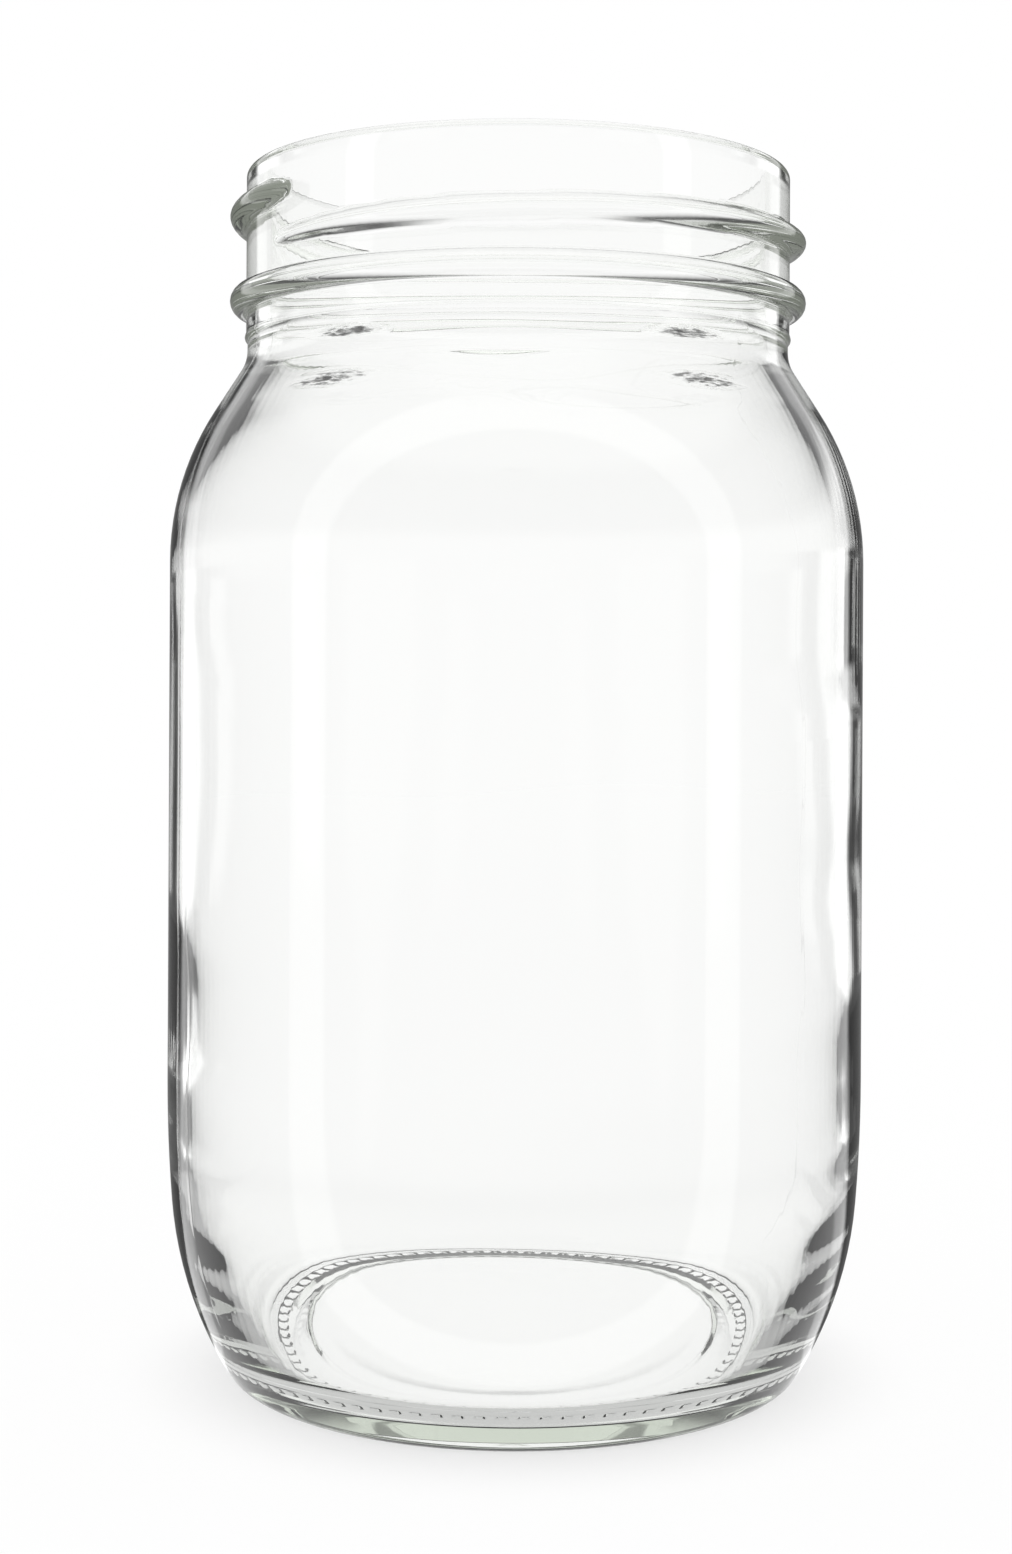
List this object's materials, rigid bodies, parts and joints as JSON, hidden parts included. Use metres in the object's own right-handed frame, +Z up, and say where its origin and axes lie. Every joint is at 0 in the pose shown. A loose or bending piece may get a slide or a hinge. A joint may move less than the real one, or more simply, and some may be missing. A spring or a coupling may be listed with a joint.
{
  "type": "glass jar",
  "caption": "Round wide-mouth jar of clear glass with rounded shoulders and heel, an external screw thread and bead for a lid, and a knurled base with a shallow push-up.",
  "frame": {"origin": "centre of the circle that the jar stands on, at its lowest level", "axes": "+Z up along the jar's axis, out of its mouth; +Y away from the picture's camera, +X to the camera's right; the thread starts blunt at the front left"},
  "size_m": [0.0984, 0.0984, 0.1696],
  "materials": {
    "glass": "clear flint glass, polished, with a faint grey-green tint where it is thick"
  },
  "bodies": {
    "root": {"base": "glass", "heel": "glass", "body_wall": "glass", "shoulder": "glass", "neck": "glass", "transfer_bead": "glass", "finish": "glass", "screw_thread": "glass"}
  },
  "joints": []
}
